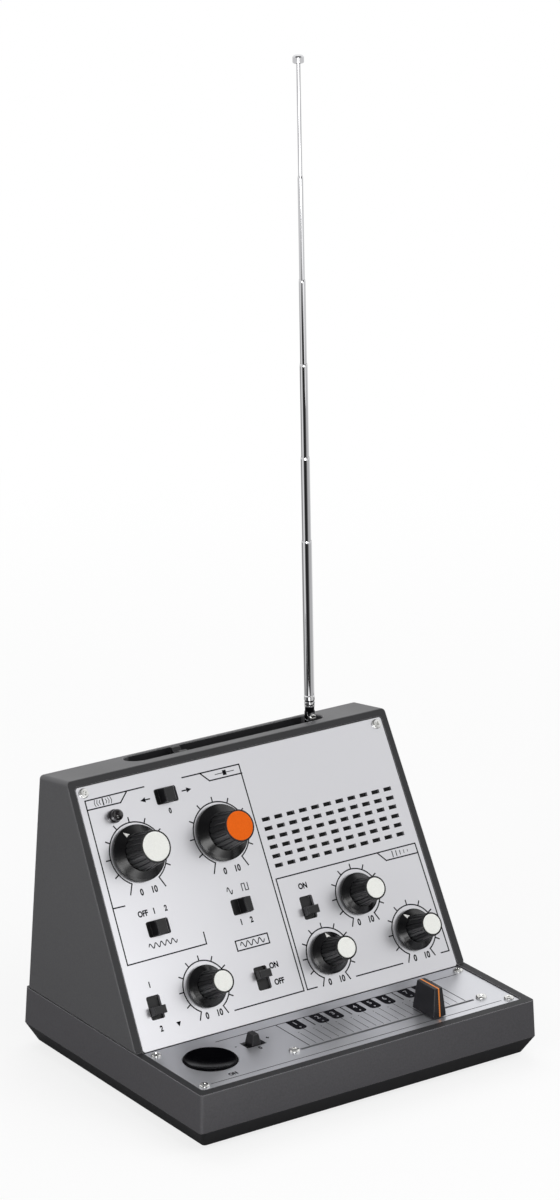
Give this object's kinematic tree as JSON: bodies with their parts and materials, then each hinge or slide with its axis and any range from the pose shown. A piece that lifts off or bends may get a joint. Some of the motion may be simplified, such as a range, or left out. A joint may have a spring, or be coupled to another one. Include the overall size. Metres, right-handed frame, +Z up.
{
  "type": "theremin",
  "caption": "Desktop theremin with a folding telescopic aerial, sloping panel of knobs and slide switches, speaker grille, and a front deck with a pitch slider and trigger button.",
  "frame": {"origin": "middle of the footprint, at table level under the rubber feet", "axes": "+Z up, +X towards the player's right, +Y away from the player"},
  "size_m": [0.1722, 0.1372, 0.4185],
  "materials": {
    "tray_plastic": "fine matt moulded grain",
    "housing_plastic": "fine matt moulded grain",
    "door_plastic": "fine matt moulded grain",
    "panel_metal": "silver, satin",
    "deck_metal": "silver, satin",
    "rear_plastic": "matt",
    "board": "green, coated",
    "foot_rubber": "matt",
    "screw_steel": "plated",
    "cell_wrap": "plain wrap",
    "contact_metal": "nickel plated",
    "pot_metal": "plated",
    "switch_metal": "plated",
    "lever_plastic": "black, moulded",
    "fader_steel": "plated",
    "slider_plastic": "black, moulded",
    "fader_black": "black, moulded",
    "fader_orange": "orange",
    "button_gloss": "polished black",
    "switch_body": "moulded",
    "lens": "smoked, polished",
    "cloth": "black weave",
    "speaker_steel": "black",
    "cone_paper": "paper",
    "socket_plastic": "moulded",
    "wheel_plastic": "ribbed",
    "bracket_steel": "plated",
    "clip_plastic": "moulded",
    "ferrule_chrome": "polished",
    "tube_chrome": "polished",
    "knob_gloss": "polished black",
    "cap_white": "white insert",
    "cap_orange": "orange insert"
  },
  "bodies": {
    "root": {"base_tray": "tray_plastic", "upper_housing": "housing_plastic", "front_panel": "panel_metal", "deck_panel": "deck_metal", "rear_plate": "rear_plastic", "rear_board": "board", "rubber_feet": "foot_rubber", "cover_screws": "screw_steel", "fader_screws": "screw_steel", "base_screws": "screw_steel", "battery_cells": "cell_wrap", "battery_contacts": "contact_metal", "main_board": "board", "deck_board": "board", "potentiometers": "pot_metal", "slide_switch_cases": "switch_metal", "fader_case": "fader_steel", "trigger_switch": "switch_body", "status_led": "lens", "grille_cloth": "cloth", "speaker_basket": "speaker_steel", "speaker_cone": "cone_paper", "rear_sockets": "socket_plastic", "antenna_bracket": "bracket_steel", "antenna_pivot_pin": "screw_steel", "antenna_clip": "clip_plastic"},
    "aerial_pitch_dial": {"aerial_pitch_knob": "knob_gloss", "aerial_pitch_knob_cap": "cap_white"},
    "slide_pitch_dial": {"slide_pitch_knob": "knob_gloss", "slide_pitch_knob_cap": "cap_orange"},
    "decay_dial": {"decay_knob": "knob_gloss", "decay_knob_cap": "cap_white"},
    "level_dial": {"level_knob": "knob_gloss", "level_knob_cap": "cap_white"},
    "time_dial": {"time_knob": "knob_gloss", "time_knob_cap": "cap_white"},
    "feedback_dial": {"feedback_knob": "knob_gloss", "feedback_knob_cap": "cap_white"},
    "mix_switch": {"mix_lever": "lever_plastic"},
    "modulation_switch": {"modulation_lever": "lever_plastic"},
    "waveform_switch": {"waveform_lever": "lever_plastic"},
    "drone_switch": {"drone_lever": "lever_plastic"},
    "vibrato_switch": {"vibrato_lever": "lever_plastic"},
    "delay_switch": {"delay_lever": "lever_plastic"},
    "octave_switch": {"octave_lever": "lever_plastic"},
    "fader": {"fader_slider": "slider_plastic", "fader_cap": "fader_black", "fader_cap_line": "fader_orange"},
    "trigger": {"trigger_button": "button_gloss"},
    "battery_lid": {"battery_door": "door_plastic"},
    "volume_dial": {"volume_wheel": "wheel_plastic"},
    "power_switch": {"power_lever": "lever_plastic"},
    "aerial_arm": {"antenna_knuckle": "ferrule_chrome", "antenna_tube_1": "tube_chrome"},
    "aerial_section_2": {"antenna_tube_2": "tube_chrome"},
    "aerial_section_3": {"antenna_tube_3": "tube_chrome"},
    "aerial_section_4": {"antenna_tube_4": "tube_chrome"},
    "aerial_section_5": {"antenna_tube_5": "tube_chrome"},
    "aerial_rod": {"antenna_rod": "tube_chrome", "antenna_tip": "ferrule_chrome"}
  },
  "joints": [
    {"name": "aerial_pitch_turn", "type": "hinge", "parent": "root", "child": "aerial_pitch_dial", "pos_m": [-0.058, 0.02025, 0.09675], "axis": [0, -0.8751, 0.4839], "range_deg": [-184, 116]},
    {"name": "slide_pitch_turn", "type": "hinge", "parent": "root", "child": "slide_pitch_dial", "pos_m": [-0.016, 0.02025, 0.09675], "axis": [0, -0.8751, 0.4839], "range_deg": [-100, 200]},
    {"name": "decay_turn", "type": "hinge", "parent": "root", "child": "decay_dial", "pos_m": [-0.0437, -0.00926, 0.04337], "axis": [0, -0.8751, 0.4839], "range_deg": [-100, 200]},
    {"name": "level_turn", "type": "hinge", "parent": "root", "child": "level_dial", "pos_m": [0.0193, -0.00926, 0.04337], "axis": [0, -0.8751, 0.4839], "range_deg": [-151, 149]},
    {"name": "time_turn", "type": "hinge", "parent": "root", "child": "time_dial", "pos_m": [0.0418, 0.00104, 0.062], "axis": [0, -0.8751, 0.4839], "range_deg": [-95, 205]},
    {"name": "feedback_turn", "type": "hinge", "parent": "root", "child": "feedback_dial", "pos_m": [0.0645, -0.00922, 0.04345], "axis": [0, -0.8751, 0.4839], "range_deg": [-179, 121]},
    {"name": "mix_slide", "type": "slide", "parent": "root", "child": "mix_switch", "axis": [1, 0, 0], "range_m": [-0.0025, 0.0025]},
    {"name": "modulation_slide", "type": "slide", "parent": "root", "child": "modulation_switch", "axis": [1, 0, 0], "range_m": [-0.0025, 0.0025]},
    {"name": "waveform_slide", "type": "slide", "parent": "root", "child": "waveform_switch", "axis": [1, 0, 0], "range_m": [-0.003, 0]},
    {"name": "drone_slide", "type": "slide", "parent": "root", "child": "drone_switch", "axis": [0, 0.4839, 0.8751], "range_m": [0, 0.003]},
    {"name": "vibrato_slide", "type": "slide", "parent": "root", "child": "vibrato_switch", "axis": [0, 0.4839, 0.8751], "range_m": [-0.003, 0]},
    {"name": "delay_slide", "type": "slide", "parent": "root", "child": "delay_switch", "axis": [0, 0.4839, 0.8751], "range_m": [0, 0.003]},
    {"name": "octave_slide", "type": "slide", "parent": "root", "child": "octave_switch", "axis": [1, 0, 0], "range_m": [-0.0025, 0.0025]},
    {"name": "fader_slide", "type": "slide", "parent": "root", "child": "fader", "axis": [1, 0, 0], "range_m": [-0.0633, 0.0207]},
    {"name": "trigger_press", "type": "slide", "parent": "root", "child": "trigger", "axis": [0, 0, -1], "range_m": [0, 0.0012], "stiffness_N_per_m": 300, "springref_m": -0.001},
    {"name": "battery_door_hinge", "type": "hinge", "parent": "root", "child": "battery_lid", "pos_m": [0, -0.0043, 0.003], "axis": [-1, 0, 0], "range_deg": [0, 90]},
    {"name": "volume_turn", "type": "hinge", "parent": "root", "child": "volume_dial", "pos_m": [-0.026, 0.05895, 0.05185], "axis": [0, -0.0679, 0.9977], "range_deg": [-150, 150]},
    {"name": "power_slide", "type": "slide", "parent": "root", "child": "power_switch", "axis": [-1, 0, 0], "range_m": [0, 0.0035]},
    {"name": "aerial_fold", "type": "hinge", "parent": "root", "child": "aerial_arm", "pos_m": [0.05085, 0.0502, 0.12695], "axis": [0, -1, 0], "range_deg": [-1.41, 87.6]},
    {"name": "aerial_section_2_push", "type": "slide", "parent": "aerial_arm", "child": "aerial_section_2", "axis": [0.0246, 0, -0.9997], "range_m": [-0.025, 0.0363]},
    {"name": "aerial_section_3_push", "type": "slide", "parent": "aerial_section_2", "child": "aerial_section_3", "axis": [0.0246, 0, -0.9997], "range_m": [-0.023, 0.0401]},
    {"name": "aerial_section_4_push", "type": "slide", "parent": "aerial_section_3", "child": "aerial_section_4", "axis": [0.0246, 0, -0.9997], "range_m": [-0.029, 0.0354]},
    {"name": "aerial_section_5_push", "type": "slide", "parent": "aerial_section_4", "child": "aerial_section_5", "axis": [0.0246, 0, -0.9997], "range_m": [-0.022, 0.0432]},
    {"name": "aerial_rod_push", "type": "slide", "parent": "aerial_section_5", "child": "aerial_rod", "axis": [0.0246, 0, -0.9997], "range_m": [-0.02, 0.0466]}
  ]
}
